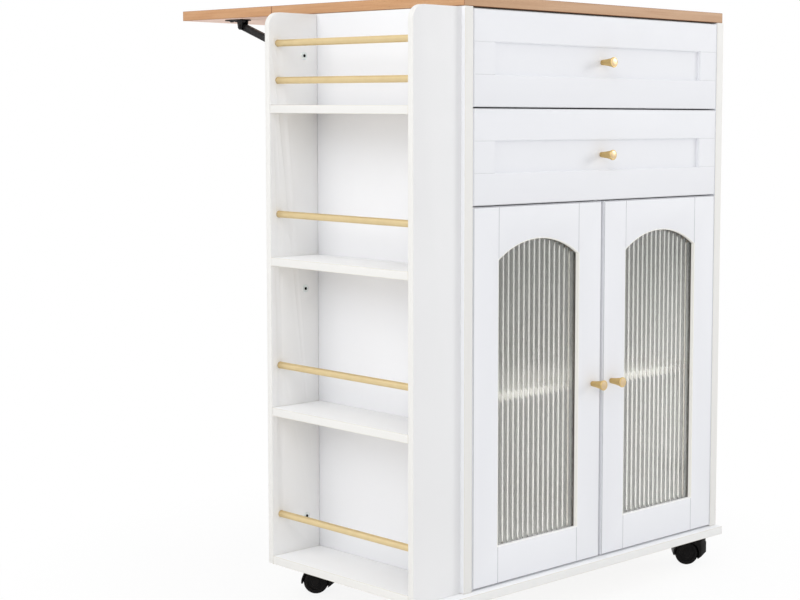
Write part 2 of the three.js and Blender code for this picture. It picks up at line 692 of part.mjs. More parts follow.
/** The hood over the twin wheels, its web between them, and the swivel housing in front. */
function casterHood(axleZ, top) {
  const roof = axleZ + HOOD_RADIUS;
  const shell = new THREE.Shape();
  shell.absarc(CASTER_TRAIL, axleZ, HOOD_RADIUS, (HOOD_LIP * Math.PI) / 180, Math.PI / 2);
  shell.lineTo(4 - HOOD_NOSE, roof);
  shell.lineTo(-HOOD_NOSE, roof - 4);
  shell.lineTo(-HOOD_NOSE, axleZ + 1.4);
  shell.lineTo(CASTER_TRAIL - 15, axleZ - 10.6);
  const body = join(
    alongY(shell, -HOOD_HALF_WIDTH, HOOD_HALF_WIDTH, 12),
    barY(8, -HOOD_WEB, HOOD_WEB, CASTER_TRAIL, axleZ, 14),
    barZ(HOOD_NOSE, axleZ + 6, top, 0, 0, 20));
  const wells = [[HOOD_WEB, HOOD_HALF_WIDTH + 1], [-HOOD_HALF_WIDTH - 1, -HOOD_WEB]].map(([y0, y1]) =>
    barY(WHEEL_RADIUS + 1.2, y0, y1, CASTER_TRAIL, axleZ, 28));
  const corner = [-HOOD_NOSE - 1, HOOD_HALF_WIDTH + 1];
  const corners = [-1, 1].map((side) => alongZ(
    outline([[corner[0], side * corner[1]], [corner[0] + 11, side * corner[1]],
      [corner[0], side * (corner[1] - 11)]]), axleZ - 15, roof + 1));
  return cut(body, ...wells, ...corners, barY(3.4, -5, 5, CASTER_TRAIL, axleZ, 12));
}

function buildCasters() {
  const axleZ = FLOOR + WHEEL_RADIUS * Math.cos(Math.PI / WHEEL_FACETS);
  const top = -BASE_BOARD - CASTER_PLATE - TOUCH;
  for (const [name, [x, y]] of Object.entries(casterSpots())) {
    const caster = new THREE.Group();
    caster.position.set(x, y, 0);
    caster.rotation.z = (CASTER_HEADING * Math.PI) / 180;
    island.add(caster);
    add(`caster_${name}_hood`, casterHood(axleZ, top), blackPlastic, caster);
    add(`caster_${name}_wheels`, twinWheels(), blackPlastic, caster)
      .position.set(CASTER_TRAIL, 0, axleZ);
  }
}

// ---------------------------------------------------------------- assembly

buildCabinet();
buildRack();
buildDrawers();
buildDoors();
buildLeaf();
buildCasters();

island.position.set(
  (RACK_REACH - WIDTH) / 2,
  (KNOB_LENGTH + TOUCH - LEAF_END) / 2,
  -FLOOR);

export default island;
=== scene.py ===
"""The looks of the drop leaf kitchen island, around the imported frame. Sizes are in metres."""

import json
import math

import bmesh
import bpy
from mathutils import Matrix, Vector


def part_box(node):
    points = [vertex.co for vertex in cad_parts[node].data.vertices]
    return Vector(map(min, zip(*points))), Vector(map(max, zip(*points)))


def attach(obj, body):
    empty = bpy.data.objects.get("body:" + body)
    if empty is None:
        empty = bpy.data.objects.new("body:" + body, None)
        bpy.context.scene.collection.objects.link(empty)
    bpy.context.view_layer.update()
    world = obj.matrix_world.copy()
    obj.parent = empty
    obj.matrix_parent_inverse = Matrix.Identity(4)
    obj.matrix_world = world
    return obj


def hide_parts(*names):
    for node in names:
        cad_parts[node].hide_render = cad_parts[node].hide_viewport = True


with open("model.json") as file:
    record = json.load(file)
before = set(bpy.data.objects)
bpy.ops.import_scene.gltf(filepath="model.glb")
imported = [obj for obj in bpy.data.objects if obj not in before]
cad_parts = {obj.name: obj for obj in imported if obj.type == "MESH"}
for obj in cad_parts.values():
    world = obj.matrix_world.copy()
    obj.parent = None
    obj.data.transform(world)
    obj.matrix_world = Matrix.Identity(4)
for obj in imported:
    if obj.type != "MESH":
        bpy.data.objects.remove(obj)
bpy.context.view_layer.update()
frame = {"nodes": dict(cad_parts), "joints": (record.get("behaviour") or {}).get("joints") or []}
NODES = frame["nodes"]
SIDES = (("left", 1), ("right", -1))  # each side, and the way along x to the cabinet's middle
LEVELS = ("upper", "lower")
CORNERS = ("front_left", "front_right", "rear_left", "rear_right")
SMOOTH_LIMIT = 34  # degrees; sharper edges stay sharp


def tone(red, green, blue):
    """A screen colour, 0 to 255, as the linear colour that a shader takes."""
    def linear(value):
        value /= 255
        return value / 12.92 if value <= 0.04045 else ((value + 0.055) / 1.055) ** 2.4
    return (linear(red), linear(green), linear(blue), 1.0)


# ---------------------------------------------------------------- materials


class Finish:
    """A node material under construction, on one Principled shader."""

    def __init__(self, name, **sockets):
        self.material = bpy.data.materials.new(name)
        self.material.use_nodes = True
        self.nodes = self.material.node_tree.nodes
        self.links = self.material.node_tree.links
        self.shader = self.nodes["Principled BSDF"]
        for socket, value in sockets.items():
            self.shader.inputs[socket.replace("_", " ")].default_value = value
        self.places = self.nodes.new("ShaderNodeTexCoord").outputs

    def add(self, kind, **settings):
        node = self.nodes.new("ShaderNode" + kind)
        for name, value in settings.items():
            setattr(node, name, value)
        return node

    def put(self, value, socket):
        """Links a socket, or sets a plain value."""
        if isinstance(value, bpy.types.NodeSocket):
            self.links.new(value, socket)
        else:
            socket.default_value = value

    def math(self, operation, *values):
        node = self.add("Math", operation=operation)
        for value, socket in zip(values, node.inputs):
            self.put(value, socket)
        return node.outputs[0]

    def xyz(self, vector):
        node = self.add("SeparateXYZ")
        self.put(vector, node.inputs[0])
        return node.outputs

    def stretched(self, scale, place=None):
        node = self.add("Mapping")
        self.put(place or self.places["Object"], node.inputs["Vector"])
        node.inputs["Scale"].default_value = scale
        return node.outputs[0]

    def noise(self, scale, detail=3.0, roughness=0.5, place=None, distortion=0.0):
        node = self.add("TexNoise")
        self.put(place or self.places["Object"], node.inputs["Vector"])
        for name, value in (("Scale", scale), ("Detail", detail), ("Roughness", roughness),
                            ("Distortion", distortion)):
            node.inputs[name].default_value = value
        return node.outputs[0]

    def spread(self, value, low, high, start=0.3, end=0.7):
        """Takes start..end to low..high, and clamps."""
        node = self.add("MapRange")
        for item, socket in zip((value, start, end, low, high), node.inputs):
            self.put(item, socket)
        return node.outputs[0]

    def blend(self, share, first, second):
        node = self.add("Mix", data_type="RGBA")
        for item, name in ((share, "Factor_Float"), (first, "A_Color"), (second, "B_Color")):
            self.put(item, next(s for s in node.inputs if s.identifier == name))
        return next(s for s in node.outputs if s.identifier == "Result_Color")

    def mottled(self, scale, first, second, detail=3.0):
        """A drift between two screen colours, over a noise of this scale."""
        return self.blend(self.spread(self.noise(scale, detail), 0, 1), tone(*first), tone(*second))

    def color(self, value):
        self.put(value, self.shader.inputs["Base Color"])

    def rough(self, value):
        self.put(value, self.shader.inputs["Roughness"])

    def bump(self, *layers):
        """Stacks bumps, each a height, a strength and a distance in metres."""
        normal = None
        for height, strength, distance in layers:
            node = self.add("Bump")
            node.inputs["Strength"].default_value = strength
            node.inputs["Distance"].default_value = distance
            self.put(height, node.inputs["Height"])
            if normal is not None:
                self.links.new(normal, node.inputs["Normal"])
            normal = node.outputs[0]
        self.links.new(normal, self.shader.inputs["Normal"])


def lacquer(name, light, deep):
    """Matt white paint with a trace of orange peel."""
    f = Finish(name, Specular_IOR_Level=0.35)
    f.color(f.mottled(3.5, light, deep, 2))
    f.rough(f.spread(f.noise(24), 0.52, 0.6))
    f.bump((f.noise(420, 2), 0.05, 0.0004), (f.noise(70, 2), 0.03, 0.0008))
    return f.material


def board_white(name, thin_axis, face, band, underside=None):
    """White melamine board with a warmer edge band; thin_axis is the board's thickness."""
    f = Finish(name, Specular_IOR_Level=0.35)
    normal = f.xyz(f.places["Normal"])["XYZ".index(thin_axis)]
    on_edge = f.math("LESS_THAN", f.math("ABSOLUTE", normal), 0.6)
    pearl = f.spread(f.noise(1500, 1), 0, 1)
    faces = f.mottled(4, face, [c - 4 for c in face], 2)
    faces = f.blend(f.math("MULTIPLY", pearl, 0.25), faces, tone(*[c - 12 for c in face]))
    # an underside colour, where given, is painted warm shade under the board
    if underside:
        faces = f.blend(f.math("LESS_THAN", normal, -0.6), faces, tone(*underside))
    f.color(f.blend(on_edge, faces, tone(*band)))
    f.rough(f.math("ADD", f.spread(f.noise(40), 0.5, 0.6), f.math("MULTIPLY", on_edge, -0.06)))
    f.bump((f.noise(900, 2), 0.12, 0.00015), (f.noise(130, 2), 0.03, 0.0004))
    return f.material


def band_seam():
    """The fine cream line where an edge band meets the board's face."""
    f = Finish("band_seam")
    f.color(f.mottled(60, (226, 220, 206), (234, 230, 220)))
    f.rough(f.spread(f.noise(300), 0.5, 0.6))
    f.bump((f.noise(800), 0.2, 0.0002))
    return f.material


def beech(name, underside):
    """Beech-grain laminate: grain along x, and along each edge on the edge band."""
    f = Finish(name, Specular_IOR_Level=0.3)
    place = f.places["Object"]
    normal = f.xyz(f.places["Normal"])
    x, y, z = f.xyz(place)
    turned = f.add("CombineXYZ")
    for value, socket in zip((y, x, z), turned.inputs):
        f.put(value, socket)
    on_end = f.math("GREATER_THAN", f.math("ABSOLUTE", normal[0]), 0.6)
    pick = f.add("Mix", data_type="VECTOR")
    for item, identifier in ((on_end, "Factor_Float"), (place, "A_Vector"), (turned.outputs[0], "B_Vector")):
        f.put(item, next(s for s in pick.inputs if s.identifier == identifier))
    along = next(s for s in pick.outputs if s.identifier == "Result_Vector")

    rings = f.noise(1.0, 4, 0.55, f.stretched((2.2, 26, 26), along), 1.2)
    streaks = f.noise(1.0, 5, 0.6, f.stretched((9, 260, 260), along))
    flecks = f.noise(1.0, 2, 0.5, f.stretched((190, 1500, 1500), along))
    wood = f.blend(f.spread(rings, 0, 1, 0.35, 0.68), tone(213, 168, 127), tone(197, 147, 104))
    wood = f.blend(f.spread(streaks, 0, 0.55, 0.45, 0.75), wood, tone(182, 131, 90))
    wood = f.blend(f.spread(flecks, 0, 0.6, 0.62, 0.74), wood, tone(160, 106, 68))
    on_long_edge = f.math("GREATER_THAN", f.math("ABSOLUTE", normal[1]), 0.6)
    wood = f.blend(f.math("MULTIPLY", on_long_edge, 0.3), wood, tone(196, 178, 160))
    below = f.math("LESS_THAN", normal[2], -0.6)
    backing = f.mottled(5, underside, [c - 5 for c in underside], 2)
    f.color(f.blend(below, wood, backing))
    f.rough(f.spread(streaks, 0.52, 0.64))
    f.bump((flecks, 0.15, 0.0002), (streaks, 0.12, 0.0003))
    return f.material


def beech_seam():
    """The darker line where the beech edge band meets the top and the corner."""
    f = Finish("beech_seam")
    grain = f.noise(1.0, 3, 0.6, f.stretched((30, 300, 300)))
    f.color(f.blend(f.spread(grain, 0, 1), tone(142, 92, 60), tone(168, 114, 76)))
    f.rough(f.spread(grain, 0.5, 0.62))
    f.bump((grain, 0.2, 0.0002))
    return f.material


def satin_gold(name, light, deep):
    """Satin gold plating, with the fine rings that turning leaves."""
    f = Finish(name, Metallic=1.0, Specular_Tint=tone(255, 244, 214))
    f.color(f.mottled(45, light, deep, 2))
    f.rough(f.spread(f.noise(420, 3), 0.30, 0.40))
    f.bump((f.noise(1800, 2), 0.10, 0.0001), (f.noise(260, 2), 0.05, 0.0002))
    return f.material


def zinc(name, light, deep):
    """Zinc-plated pressed steel, with a faint spangle."""
    f = Finish(name, Metallic=1.0)
    spangle = f.add("TexVoronoi")
    f.put(f.places["Object"], spangle.inputs["Vector"])
    spangle.inputs["Scale"].default_value = 320
    f.color(f.blend(f.spread(spangle.outputs["Distance"], 0, 1, 0, 0.6), tone(*light), tone(*deep)))
    f.rough(f.spread(f.noise(150), 0.24, 0.38))
    f.bump((f.noise(900, 2), 0.08, 0.0001))
    return f.material


def black_steel():
    """Black powder coat on the stays."""
    f = Finish("black_steel", Specular_IOR_Level=0.15)
    f.color(f.mottled(30, (17, 15, 16), (27, 25, 27)))
    f.rough(f.spread(f.noise(220), 0.34, 0.46))
    f.bump((f.noise(1100, 3), 0.22, 0.0002))
    return f.material


def black_plastic(name, fine, rough):
    """Moulded black plastic with a fine spark-eroded texture."""
    f = Finish(name, Specular_IOR_Level=0.12)
    f.color(f.mottled(60, (12, 11, 11), (20, 18, 18)))
    f.rough(f.spread(f.noise(300), rough, rough + 0.12))
    f.bump((f.noise(fine, 3), 0.25, 0.0002))
    return f.material


def recess_shade():
    """Painted shade: the near-black that stands in for the shadow deep in a socket or a screw's cross
    recess.
    """
    f = Finish("socket_painted_shade", Specular_IOR_Level=0.1)
    f.color(f.mottled(500, (9, 12, 11), (20, 23, 22)))
    f.rough(f.spread(f.noise(700), 0.6, 0.75))
    f.bump((f.noise(1500), 0.3, 0.0002))
    return f.material


def joint_shade(name, light, deep):
    """Painted shade: the grey that stands in for the shadow in a groove where a rail meets a stile."""
    f = Finish(name)
    f.color(f.mottled(90, deep, light))
    f.rough(f.spread(f.noise(300), 0.6, 0.75))
    f.bump((f.noise(900), 0.1, 0.0001))
    return f.material


def dark_strip(name, light, deep):
    """The mottled colour of a strip between the window's bead and the glass."""
    f = Finish(name)
    f.color(f.mottled(200, deep, light))
    f.rough(f.spread(f.noise(400), 0.5, 0.65))
    f.bump((f.noise(1200), 0.2, 0.0001))
    return f.material


def raw_fibreboard():
    """The unpainted brown board of the strip that holds the glass from behind."""
    f = Finish("raw_fibreboard")
    fibres = f.noise(1.0, 4, 0.6, f.stretched((900, 900, 300)))
    f.color(f.blend(f.spread(fibres, 0, 1), tone(212, 184, 148), tone(188, 160, 128)))
    f.rough(f.spread(fibres, 0.75, 0.9))
    f.bump((fibres, 0.3, 0.0002))
    return f.material


def fluted_glass():
    """Reeded glass, faintly milky, with painted shade: its colour greys towards its top, for the darker top
    of the cupboard behind it.
    """
    f = Finish("fluted_glass", Transmission_Weight=0.92, IOR=1.5, Roughness=0.0)
    clear = f.mottled(6, (253, 252, 247), (250, 250, 245), 2)
    height = f.xyz(f.places["Object"])[2]
    # painted shade: the glass greys towards the pane's top
    f.color(f.blend(f.spread(height, 0, 1, 0.33, 0.50), clear, tone(220, 221, 216)))
    return f.material


FACE_WHITE = (246, 246, 246)
BAND_WHITE = (236, 235, 232)
# painted light: a lighter copy of the edge band, on the base board's edges
BASE_BAND_LIT_WHITE = (240, 240, 239)
# painted shade: a greyer copy of the board's white, on the rack's front end panel
FRONT_PANEL_SHADED_WHITE = (241, 241, 242)
SIDE_WHITE = (246, 247, 250)
SHELF_WHITE = (249, 250, 252)
# painted warm shade: the shelves' and the base's undersides are warmer, for the warm shade beneath them
SHELF_UNDERSIDE_PAINTED_WARM_SHADE = (250, 241, 226)
# painted light: a lighter copy of the board's white, on the cabinet's inside boards
INSIDE_LIT_WHITE = (249, 249, 247)
BOX_WHITE = (230, 230, 227)
LACQUER = lacquer("front_lacquer", (241, 242, 246), (239, 240, 244))
BOARDS = {
    "side": board_white("side_board", "X", SIDE_WHITE, BAND_WHITE),
    "panel": board_white("panel_board", "Y", FACE_WHITE, BAND_WHITE),
    "front panel": board_white("front_panel_painted_shade_board", "Y", FRONT_PANEL_SHADED_WHITE, BAND_WHITE),
    "shelf": board_white("shelf_board_painted_underside_shade", "Z", SHELF_WHITE, BAND_WHITE, SHELF_UNDERSIDE_PAINTED_WARM_SHADE),
    "base": board_white("base_board_painted_light_and_shade", "Z", SHELF_WHITE, BASE_BAND_LIT_WHITE, SHELF_UNDERSIDE_PAINTED_WARM_SHADE),
}
INSIDE = {axis: board_white("inside_painted_light_" + axis.lower(), axis, INSIDE_LIT_WHITE, INSIDE_LIT_WHITE)
          for axis in "YZ"}
BOX_BOARD = board_white("drawer_board", "Z", BOX_WHITE, BOX_WHITE)
SEAM = band_seam()
BEECH = {
    "worktop": beech("worktop_laminate", (132, 100, 74)),
    "drop_leaf": beech("leaf_laminate", (243, 211, 194)),
}
BEECH_SEAM = beech_seam()
RAIL_GOLD = satin_gold("rail_gold", (229, 208, 164), (223, 201, 156))
# the knobs' gold in two copies: deeper on cone and foot, painted shade; paler and greyer on the face,
# painted highlight
KNOB_GOLD_PAINTED_SHADE = satin_gold("knob_gold_painted_shade", (216, 188, 132), (208, 180, 124))
KNOB_FACE_GOLD_PAINTED_HIGHLIGHT = satin_gold("knob_face_gold_painted_highlight", (212, 189, 153), (206, 182, 146))
ZINC = zinc("zinc_steel", (206, 208, 210), (176, 179, 182))
LOCK_ZINC = zinc("lock_zinc", (242, 246, 244), (226, 231, 229))
STEEL_BLACK = black_steel()
HOOD_BLACK = black_plastic("hood_plastic", 1400, 0.34)
TYRE_BLACK = black_plastic("tyre_plastic", 700, 0.5)
# painted shade for the cam locks' sockets and the screws' cross recesses
SOCKET_SHADE = recess_shade()
GLASS = fluted_glass()
# painted highlight: a whiter lacquer on the window's bead, and whiter still on its sill
BEAD_PAINTED_HIGHLIGHT = lacquer("bead_painted_highlight", (252, 250, 244), (250, 248, 242))
SILL_PAINTED_HIGHLIGHT = lacquer("sill_painted_highlight", (253, 253, 254), (251, 251, 252))
# painted shade in the V grooves of the doors and the drawer fronts
DOOR_JOINT_SHADE = joint_shade("door_joint_painted_shade", (174, 175, 179), (164, 165, 169))
DRAWER_JOINT_SHADE = joint_shade("drawer_joint_painted_shade", (228, 229, 232), (218, 219, 222))
# a dark brown strip round the window's jambs and arch
STRIP_BROWN = dark_strip("glazing_strip", (45, 37, 28), (34, 27, 20))
# painted shadow: the strip's grey on the sill, where the glass meets the sill
SILL_CONTACT_SHADOW_GREY = dark_strip("sill_painted_contact_shadow", (158, 158, 158), (146, 146, 146))
FIBREBOARD = raw_fibreboard()


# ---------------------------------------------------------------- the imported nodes' finish


def smooth_by_angle(limit):
    """A node group that shades smooth, but for edges sharper than the limit in degrees."""
    group = bpy.data.node_groups.new(f"smooth_{limit}", "GeometryNodeTree")
    group.interface.new_socket("Geometry", in_out="INPUT", socket_type="NodeSocketGeometry")
    group.interface.new_socket("Geometry", in_out="OUTPUT", socket_type="NodeSocketGeometry")
    new, link = group.nodes.new, group.links.new
    start, end = new("NodeGroupInput"), new("NodeGroupOutput")
    angle, compare = new("GeometryNodeInputMeshEdgeAngle"), new("FunctionNodeCompare")
    compare.operation = "LESS_EQUAL"
    compare.inputs[1].default_value = math.radians(limit)
    edges, faces = new("GeometryNodeSetShadeSmooth"), new("GeometryNodeSetShadeSmooth")
    edges.domain, faces.domain = "EDGE", "FACE"
    link(angle.outputs[0], compare.inputs[0])
    link(start.outputs[0], edges.inputs["Geometry"])
    link(compare.outputs[0], edges.inputs["Shade Smooth"])
    link(edges.outputs[0], faces.inputs["Geometry"])
    link(faces.outputs[0], end.inputs[0])
    return group


SMOOTH = smooth_by_angle(SMOOTH_LIMIT)


def dress(node, material, seam=None, bevel=0.0):
    """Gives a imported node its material, eases its edges and shades it; seam colours the eased edges."""
    o = NODES[node]
    o.data.materials.clear()
    o.data.materials.append(material)
    o.data.materials.append(seam or material)
    weld = o.modifiers.new("weld", "WELD")
    weld.merge_threshold = 1e-6
    if bevel:
        ease = o.modifiers.new("ease", "BEVEL")
        ease.width, ease.segments = bevel, 2
        ease.limit_method, ease.angle_limit = "ANGLE", math.radians(40)
        ease.material = 1
    shade = o.modifiers.new("shade", "NODES")
    shade.node_group = SMOOTH


JOINT_DEPTH = 0.00035  # of the fronts' V grooves, where a rail meets a stile
FLUSH = 0.00002  # a face that starts this close to the front reaches it


def shade_joints(node, material):
    """Gives the faces of a front's fine V grooves their painted shade."""
    o = NODES[node]
    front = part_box(node)[0].y
    o.data.materials[1] = material
    places = [(o.matrix_world @ vertex.co).y - front for vertex in o.data.vertices]
    for polygon in o.data.polygons:
        depths = [places[i] for i in polygon.vertices]
        if min(depths) < FLUSH and JOINT_DEPTH * 0.8 < max(depths) < JOINT_DEPTH * 1.05:
            polygon.material_index = 1


def dress_all():
    """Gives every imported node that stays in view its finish."""
    boards = {
        "side_panel_left": "side", "side_panel_right": "side", "base_board": "base",
        "rack_panel_front": "front panel", "rack_panel_rear": "panel", "rack_bottom": "shelf",
        "rack_shelf_1": "shelf", "rack_shelf_2": "shelf", "rack_shelf_3": "shelf",
    }
    for node, kind in boards.items():
        dress(node, BOARDS[kind], SEAM, 0.0005)
    dress("back_panel", INSIDE["Y"], SEAM, 0.0004)
    for node in ("drawer_deck", "cupboard_shelf", "top_rail"):
        dress(node, INSIDE["Z"], SEAM, 0.0004)
    for node, laminate in BEECH.items():
        dress(node, laminate, BEECH_SEAM, 0.0006)
    for level in LEVELS:
        dress(f"drawer_front_{level}", LACQUER)
        shade_joints(f"drawer_front_{level}", DRAWER_JOINT_SHADE)
        dress(f"drawer_box_{level}", BOX_BOARD, bevel=0.0004)
    for side, _ in SIDES:
        dress(f"door_frame_{side}", LACQUER)
        shade_joints(f"door_frame_{side}", DOOR_JOINT_SHADE)
        for level in LEVELS:
            dress(f"door_hinge_{side}_{level}", ZINC, bevel=0.0005)
            dress(f"runner_{level}_{side}", ZINC)
        for part in ("leaf_plate", "wall_plate", "upper_link", "lower_link"):
            dress(f"stay_{side}_{part}", STEEL_BLACK, bevel=0.0003)
    for number in (1, 2):
        for half in ("fixed", "moving"):
            dress(f"leaf_hinge_{number}_{half}", ZINC, bevel=0.0002)
    for corner in CORNERS:
        dress(f"caster_{corner}_hood", HOOD_BLACK, bevel=0.0005)


# ---------------------------------------------------------------- mesh tools


def piece(name, mesh, material, body, replaces=()):
    """A shown piece from a finished bmesh: closed, shaded by angle, riding on its body."""
    bmesh.ops.recalc_face_normals(mesh, faces=mesh.faces)
    data = bpy.data.meshes.new(name)
    mesh.to_mesh(data)
    mesh.free()
    o = bpy.data.objects.new(name, data)
    bpy.context.scene.collection.objects.link(o)
    for item in material if isinstance(material, (list, tuple)) else [material]:
        data.materials.append(item)
    data.polygons.foreach_set("use_smooth", [True] * len(data.polygons))
    data.set_sharp_from_angle(angle=math.radians(SMOOTH_LIMIT))
    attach(o, body)
    if replaces:
        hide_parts(*replaces)
    return o


def loft(mesh, rings, material=0):
    """Joins each ring of vertices to the next with quads."""
    for low, high in zip(rings, rings[1:]):
        for i in range(len(low)):
            j = (i + 1) % len(low)
            mesh.faces.new((low[i], low[j], high[j], high[i])).material_index = material


def round_ring(mesh, radius, height, place, segments):
    """A circle of vertices about local z, or the one vertex where the radius is nothing."""
    if radius == 0:
        return [mesh.verts.new(place @ Vector((0, 0, height)))]
    turns = [2 * math.pi * i / segments for i in range(segments)]
    return [mesh.verts.new(place @ Vector((radius * math.cos(a), radius * math.sin(a), height)))
            for a in turns]


def lathe(mesh, profile, place, segments=48, material=0):
    """Adds a solid turned about local z: profile is (radius, height), from axis to axis."""
    rings = [round_ring(mesh, radius, height, place, segments) for radius, height in profile]
    for low, high in zip(rings, rings[1:]):
        for i in range(segments):
            j = (i + 1) % segments
            if len(low) == 1:
                corners = (low[0], high[j], high[i])
            elif len(high) == 1:
                corners = (low[i], low[j], high[0])
            else:
                corners = (low[i], low[j], high[j], high[i])
            mesh.faces.new(corners).material_index = material


def cross_outline(arm, half):
    """A plus sign's 12 corners, from its arm length and half its arm width."""
    quarter = [(arm, -half), (arm, half), (half, half)]
    points = []
    for turn in range(4):
        for u, v in quarter:
            for _ in range(turn):
                u, v = -v, u
            points.append((u, v))
    return points


def screw_head(mesh, radius, rise, place, segments=24):
    """Adds a domed screw head with its foot at local z = 0; its cross recess has material 1."""
    foot, shoulder, crown = (round_ring(mesh, radius * width, rise * height, place, segments)
                             for width, height in ((1, 0), (0.96, 0.45), (0.72, 0.9)))
    loft(mesh, [foot, shoulder, crown])
    mesh.faces.new(list(reversed(foot)))
    cross = cross_outline(radius * 0.56, radius * 0.15)
    mouth = [mesh.verts.new(place @ Vector((u, v, rise))) for u, v in cross]
    floor = [mesh.verts.new(place @ Vector((u * 0.8, v * 0.7, rise * 0.25))) for u, v in cross]
    loft(mesh, [mouth, floor], 1)
    mesh.faces.new(floor).material_index = 1
    edges = []
    for loop in (crown, mouth):
        for pair in zip(loop, loop[1:] + loop[:1]):
            edges.append(mesh.edges.get(pair) or mesh.edges.new(pair))
    bmesh.ops.triangle_fill(mesh, edges=edges, use_beauty=True)


def facing(origin, direction, spin=0.0):
    """A placing matrix whose local z looks along direction."""
    turn = Vector(direction).to_track_quat("Z", "Y").to_matrix().to_4x4()
    return Matrix.Translation(Vector(origin)) @ turn @ Matrix.Rotation(spin, 4, "Z")


def middle(node):
    """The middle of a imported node's box."""
    low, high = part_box(node)
    return (low + high) / 2


def outer_x(node, way):
    """Where a node's outer face lies along x, when way leads to the cabinet's middle."""
    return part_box(node)[0 if way > 0 else 1].x


# ---------------------------------------------------------------- knobs and rails


HEAD_SHARE = 0.94  # the turned head's width, as a share of its node's
RAIL_EASE = 0.0006  # on a rail's ends


def knob(name, node, body):
    """A turned knob: narrow foot, straight cone that flares at the head, flat face."""
    low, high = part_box(node)
    centre = middle(node)
    length = high.y - low.y
    head = (high.x - low.x) / 2 * HEAD_SHARE
    profile = [
        (0, 0), (0.0036, 0), (0.0037, 0.0004), (0.0037, 0.0016), (0.0040, 0.0020),
        (0.0049, length * 0.45), (0.0058, length * 0.66),
    ]
    profile += [(head * width, length * height) for width, height in (
        (0.84, 0.80), (0.95, 0.865), (0.99, 0.9), (1, 0.925), (1, 0.955), (0.985, 0.972),
        (0.95, 0.988), (0.90, 1), (0.84, 1), (0.83, 0.994), (0.80, 0.99), (0, 0.99))]
    # the flat face takes the paler copy of the gold, a painted highlight
    face = [(head * width, length * height) for width, height in (
        (0, 0.97), (0.78, 0.97), (0.78, 0.993), (0.76, 0.995), (0, 0.995))]
    mesh = bmesh.new()
    at = facing((centre.x, high.y, centre.z), (0, -1, 0))
    lathe(mesh, profile, at, 64)
    lathe(mesh, face, at, 64, 1)
    return piece(name, mesh, [KNOB_GOLD_PAINTED_SHADE, KNOB_FACE_GOLD_PAINTED_HIGHLIGHT], body, [node])


def knobs():
    """One knob on each drawer and each door."""
    for level in LEVELS:
        knob(f"turned_knob_drawer_{level}", f"drawer_knob_{level}", f"drawer_{level}")
    for side, _ in SIDES:
        turned = knob(f"turned_knob_door_{side}", f"door_knob_{side}", f"door_{side}")
        turned.visible_transmission = False  # no gold streaks in the flutes beside it


def rack_rails():
    """The five rails between the rack's end panels, with eased ends."""
    for number in range(1, 6):
        node = f"rack_rail_{number}"
        low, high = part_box(node)
        centre = middle(node)
        radius, length = (high.x - low.x) / 2, high.y - low.y
        profile = [(0, 0), (radius - RAIL_EASE, 0), (radius, RAIL_EASE)]
        profile += [(radius, length * share) for share in (0.25, 0.5, 0.75)]
        profile += [(radius, length - RAIL_EASE), (radius - RAIL_EASE, length), (0, length)]
        mesh = bmesh.new()
        lathe(mesh, profile, facing((centre.x, low.y, centre.z), (0, 1, 0)))
        piece(f"gold_rail_{number}", mesh, RAIL_GOLD, "cabinet", [node])


# ---------------------------------------------------------------- fluted panes


FLUTES = 17
CROWN = 0.62  # share of a flute's half width that is its flat crown
CROWN_SLOPE, FLANK_SLOPE = math.radians(20), math.radians(60)  # at the crown's edge, at the flute's


def flute_depths(half_width, steps=9):
    """How far one half of a flute falls back, from its crown's middle to its edge."""
    shares = [CROWN * i / steps for i in range(steps)]
    shares += [CROWN + (1 - CROWN) * i / steps for i in range(steps + 1)]

    def slope(share):
        if share < CROWN:
            return CROWN_SLOPE * share / CROWN
        return CROWN_SLOPE + (FLANK_SLOPE - CROWN_SLOPE) * (share - CROWN) / (1 - CROWN)

    depths, depth = [(0.0, 0.0)], 0.0
    for near, far in zip(shares, shares[1:]):
        depth += math.tan(slope((near + far) / 2)) * (far - near) * half_width
        depths.append((far, depth))
    return depths


def fluted_pane(side):
    """The pane with finely drawn flutes, in the place of the plain one."""
    node = f"door_glass_{side}"
    low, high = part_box(node)
    half = (high.x - low.x) / FLUTES / 2
    depths = flute_depths(half)
    front = []
    for i in range(FLUTES):
        crown = low.x + (2 * i + 1) * half
        front += [(crown - share * half, low.y + depth) for share, depth in reversed(depths)]
        front += [(crown + share * half, low.y + depth) for share, depth in depths[1:-1]]
    front.append((high.x, low.y + depths[-1][1]))
    outline = front + [(high.x, high.y), (low.x, high.y)]
    mesh = bmesh.new()
    rings = [[mesh.verts.new((x, y, z)) for x, y in outline] for z in (low.z, high.z)]
    loft(mesh, rings)
    mesh.faces.new(list(reversed(rings[0])))
    mesh.faces.new(rings[1])
    pane = piece(f"fluted_pane_{side}", mesh, GLASS, f"door_{side}", [node])
    pane.visible_shadow = False  # the glass lets the lamps into the cupboard


# ---------------------------------------------------------------- window trims


GLASS_LAP, ARCH_RISE = 0.006, 0.0265  # the pane runs behind the frame; the arch's height
ARCH_STEPS = 28
EDGE_ROUND = 0.0012  # rounding of the frame's edges
BEAD_RADIUS = EDGE_ROUND + 0.0001

